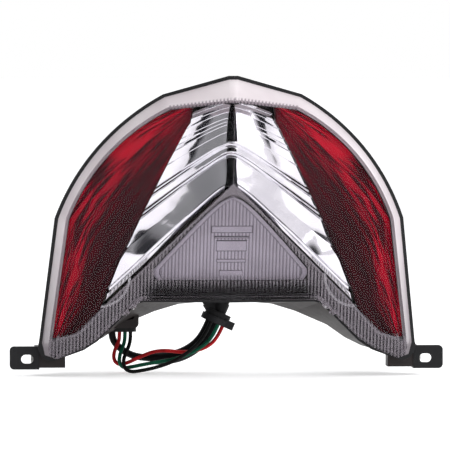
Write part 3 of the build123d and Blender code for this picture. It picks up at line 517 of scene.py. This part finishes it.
for pad_z, pad_width, pad_height in (
        (77.0, 24.0, 4.2), (72.4, 20.6, 1.4), (67.4, 18.0, 6.6), (58.6, 16.8, 2.2), (51.4, 13.6, 3.4)):
    reach_x = np.clip((pad_width / 2 - x) / 0.35, 0.0, 1.0)
    reach_z = np.clip((pad_height / 2 - np.abs(z - pad_z)) / 0.45, 0.0, 1.0)
    pads = np.maximum(pads, np.minimum(reach_x, reach_z))
flute = np.abs(np.sin(pi * x / flute_pitch))
relief = inside * (1 - pads) * 0.45 * flute + 0.9 * pads + 0.8 * bead
diffuser_face = (-11.8, 0.047, 0.507)
y = slant(*diffuser_face, x, z) - relief
# Painted shade: dark in the flute valleys, a dark line round each pad's edge and a dark line just inside the bead.
flute_shade_tone = np.clip(np.where(inside * (1 - pads) > 0.5, 0.30 + 0.90 * flute, 0.95), 0.0, 1.0)
flute_shade_tone = np.where((pads > 0.02) & (pads < 0.98), 0.10, flute_shade_tone)
flute_shade_tone = np.where(np.abs(border - 2.5) < 0.25, 0.35, flute_shade_tone)
surface_piece("window_diffuser", [(np.stack([x, y, z], axis=-1), True)], diffuser_coat,
              "centre_diffuser", wall=1.6, crease=60.0, attributes=[flute_shade_tone])

# Outer lens: clear acrylic. Its front is two broad panes folded at the middle, the window below them lies further
# back and is ribbed round the diffuser, and its frosted flank runs back to the seal.
lens_coat = Coat("clear_acrylic", Specular_IOR_Level=0.5)
band = lens_coat.node("ShaderNodeAttribute", {"attribute_name": "band"}, output="Fac")
frost = lens_coat.between(band, 0.75, 1.0)
spot = lens_coat.spot()
cloud = lens_coat.between(lens_coat.noise(spot, 26.0, 3.0), 0.3, 0.75)
milk = lens_coat.mix(cloud, (0.74, 0.66, 0.69), (0.88, 0.81, 0.83))
# The ribbed window's colour is partly painted light: lighter crests and the seam line are painted highlights and the
# dark valleys painted shade; the same band also sets how opaque the lens is.
rib_light_and_shade = lens_coat.mix(lens_coat.between(band, 0.10, 0.45), (0.05, 0.045, 0.055), (0.29, 0.255, 0.29))
lens_coat.feed(Base_Color=lens_coat.mix(frost, rib_light_and_shade, milk))
lens_coat.feed(Roughness=0.10 + 0.15 * lens_coat.noise(spot, 120.0, 3.0))
gloss = lens_coat.node("ShaderNodeBsdfGlossy", {}, {"Color": (1.0, 1.0, 1.0, 1.0), "Roughness": 0.03})
clear = lens_coat.node("ShaderNodeBsdfTransparent", {}, {"Color": (0.97, 0.96, 0.97, 1.0)})
grazing = lens_coat.node("ShaderNodeLayerWeight", {}, {"Blend": 0.5}, output="Facing")
shine = 0.004 + 0.7 * grazing.worked("POWER", grazing, 5.0)
pane = lens_coat.node("ShaderNodeMixShader", {}, {0: shine, 1: clear, 2: gloss})
body = Wire(lens_coat, lens_coat.shader.outputs[0])
lens_coat.join(lens_coat.output.inputs["Surface"],
               lens_coat.node("ShaderNodeMixShader", {}, {0: band * 0.85, 1: pane, 2: body}))

front_top = [in_mm((0, 0.922), (0.023, 0.922)), in_mm((0.023, 0.922), (0.344, 0.899)),
             bow(*in_mm((0.344, 0.899), (0.642, 0.752), (0.875, 0.503)), 26), in_mm((0.875, 0.503), (0.965, 0.045)),
             in_mm((0.965, 0.045), (0.955, 0.014)), in_mm((0.955, 0.014), (0.915, 0.004))]
rim_top = [in_mm((0, 1.0), (0.023, 1.0)), in_mm((0.023, 1.0), (0.362, 0.936)),
           bow(*in_mm((0.362, 0.936), (0.697, 0.757), (0.922, 0.502)), 26), in_mm((0.922, 0.502), (1.0, 0.061)),
           in_mm((1.0, 0.061), (0.984, 0.016)), in_mm((0.984, 0.016), (0.933, 0.004))]
bottom = in_mm((0.780, 0.042), (0.710, 0.073), (0.604, 0.142), (0.499, 0.209), (0.459, 0.217), (0, 0.217))
stretch_rows = (3, 70, 26, 20, 6, 6)
lower_rows = (8, 5, 9, 9, 4, 22)


def stretches(top):
    """An outline's points with a set number on each stretch, so that two outlines match row by row."""
    rows = [along(part, np.linspace(0, 1, count)) for part, count in zip(top, stretch_rows)]
    lower = np.concatenate([top[-1][-1:], bottom])
    rows += [along(lower[i:i + 2], np.linspace(0, 1, count)) for i, count in enumerate(lower_rows)]
    return np.concatenate([rows[0]] + [row[1:] for row in rows[1:]])


front_line, rim_line = stretches(front_top), stretches(rim_top)
turning_row = sum(stretch_rows[:5]) - 5
pane_face, window_face, rim_face = (-46.0, 0.33, 0.22), (-16.3, 0.047, 0.507), (-24.0, 0.20, 0.25)
apex, vee_slope, red_start = 103.5, 0.986, 70.0
top_middle, low_middle = 0.922 * height, 0.217 * height
steps = np.linalg.norm(np.diff(front_line, axis=0), axis=1)
reach = np.concatenate(([0.0], np.cumsum(steps)))
upper_share = (reach / reach[turning_row]).clip(0, 1)
lower_share = ((reach - reach[turning_row]) / (reach[-1] - reach[turning_row])).clip(0, 1) ** 1.6
fold_z = top_middle - (top_middle - apex) * upper_share - (apex - low_middle) * lower_share
lattice = np.arange(0.0, 106.0, 0.5)
x = np.minimum(lattice[None, :], front_line[:, :1])
share = x / np.maximum(front_line[:, :1], 1e-6)
z = fold_z[:, None] + share * (front_line[:, 1:] - fold_z[:, None])
diffuser_edge = diffuser_top - diffuser_slope * (np.sqrt(x**2 + diffuser_round**2) - diffuser_round)
outside = np.clip(np.maximum.reduce([z - diffuser_edge, 48.5 - z, x - 43.0]) / 1.5, 0.0, 1.0)
window = np.clip((apex - vee_slope * x - z) / 1.2, 0.0, 1.0)
red_foot = np.interp(x, [70.0, 82.7, 86.7, 97.5, 104.0], [34.4, 19.5, 15.9, 13.1, 12.5])
corner = np.clip(red_foot - z, 0.0, 1.0) * (x > red_start)
ribbed = outside * np.maximum(window, corner)
seam_z = np.where(x < red_start, apex - vee_slope * x, red_foot)
# A light line along the window's seam is a painted highlight.
seam_highlight = np.clip(1.0 - np.abs(z - seam_z + 0.6) / 0.9, 0.0, 1.0) ** 0.5
rib = 0.5 - 0.5 * np.cos(2 * pi * x / flute_pitch)
rib_height = 0.16
y = np.maximum(slant(*pane_face, x, z), slant(*window_face, x, z))
y = y - rib_height * ribbed * np.clip((92.0 - z) / 8.0, 0.0, 1.0) * rib
side_share = np.clip((x - 42.0) / 12.0, 0.0, 1.0)
# The window band gets darker and clearer towards the bottom, and its rib crests are painted lighter than the
# valleys.
low_band = np.interp(z, [37.0, 42.0, 47.0, 52.0], [0.05, 0.16, 0.42, 0.52])
rib = np.where(z > 88.0, 0.6, rib)
window_band = ribbed * (low_band + side_share * (0.50 - low_band)) * (0.25 + 1.1 * rib)
window_band = np.maximum(window_band, 0.62 * seam_highlight)
to_rim = np.array([0.0, 0.02, 0.05, 0.1, 0.2, 0.35, 0.5, 0.65, 0.8, 0.9, 0.96, 1.0])[None, :, None]
front_edge = np.column_stack([front_line[:, 0], y[:, -1], front_line[:, 1]])
rim_depth = slant(*rim_face, rim_line[:, 0], rim_line[:, 1])
rim_edge = np.column_stack([rim_line[:, 0], rim_depth, rim_line[:, 1]])
flank = front_edge[:, None] + to_rim * (rim_edge - front_edge)[:, None]
panes = np.stack([x, y, z], axis=-1)
whole = np.concatenate([panes, flank[:, 1:]], axis=1)
frosted = np.interp(to_rim[0, :, 0], [0.0, 0.03, 0.06], [0.0, 1.0, 1.0])
frosted = frosted * np.interp(front_line[:, 1:], [5.0, 90.0], [0.84, 1.0])
top_ribs = (0.5 + 0.5 * np.cos(2 * pi * front_line[:, :1] / flute_pitch)) * (front_line[:, 1:] > 146.0)
frosted = frosted - 0.30 * top_ribs * np.interp(to_rim[0, :, 0], [0.08, 0.16], [1.0, 0.0])
whole_band = np.concatenate([window_band, frosted[:, 1:]], axis=1)
surface_piece("clear_lens", [(whole, True)], lens_coat, "outer_lens", wall=2.0, crease=24.0,
              attributes=[whole_band])

# Bulbs, bowls, holders and rubber: black nylon holders twist into the housing's bosses with a rubber ring under
# each, and carry glass bulbs on brass bases inside plated bowls. Caps, grommets and the boot push into place.
sides = ("left", "right")
black_plastic = moulded("holder_black", (0.022, 0.022, 0.024), 0.36, 1100.0, 0.00012)
dress([f"bulb_holder_{side}" for side in sides] + ["plate_bulb_socket"], black_plastic)
rubber = moulded("rubber_black", (0.016, 0.016, 0.017), 0.55, 1500.0, 0.00018)
dress([f"holder_seal_{side}" for side in sides] + [f"breather_cap_{side}" for side in sides]
      + ["leg_grommet", "lead_grommet", "harness_boot"], rubber)
dress(["connector"], moulded("plug_plastic", (0.050, 0.052, 0.055), 0.34, 900.0, 0.0001))
dress(["cable_tie"], moulded("tie_nylon", (0.020, 0.020, 0.022), 0.30, 700.0, 0.0001))


def plated(name, colour, roughness, scratch):
    """Plated metal: fine scratches one way, and dull spots."""
    coat = Coat(name, Metallic=1.0)
    spot = coat.spot()
    marks = coat.noise(coat.spot((1.0, 1.0, 0.08)), scratch, 3.0, 0.6)
    coat.feed(Base_Color=coat.mix(coat.between(coat.noise(spot, 300.0, 3.0), 0.3, 0.75),
                                  tuple(0.7 * part for part in colour), colour))
    coat.feed(Roughness=roughness + 0.18 * marks, Normal=coat.bump(marks, 0.00004))
    return coat


dress([f"bulb_reflector_{side}" for side in sides], plated("bowl_aluminium", (0.85, 0.85, 0.87), 0.10, 500.0))
dress([f"bulb_base_{side}" for side in sides], plated("base_brass", (0.72, 0.60, 0.38), 0.22, 600.0))
dress(["reflector_screws", "tab_screws"], plated("zinc", (0.62, 0.62, 0.60), 0.26, 900.0))
bulb_glass = Coat("bulb_glass", Roughness=0.05, Base_Color=(0.95, 0.9, 0.85), Specular_IOR_Level=0.6)
bulb_glass.feed(Alpha=0.30 + 0.3 * bulb_glass.noise(bulb_glass.spot(), 90.0, 2.0))
dress([f"bulb_{side}" for side in sides] + ["plate_bulb"], bulb_glass)

# Mounting tabs: pressed steel, powder coated black, with a slotted hole for a rubber mount, screwed to the housing.
tab_coat = moulded("tab_powder", (0.016, 0.016, 0.017), 0.46, 1300.0, 0.0002)
dress(["mount_tab_right", "mount_tab_left"], tab_coat)
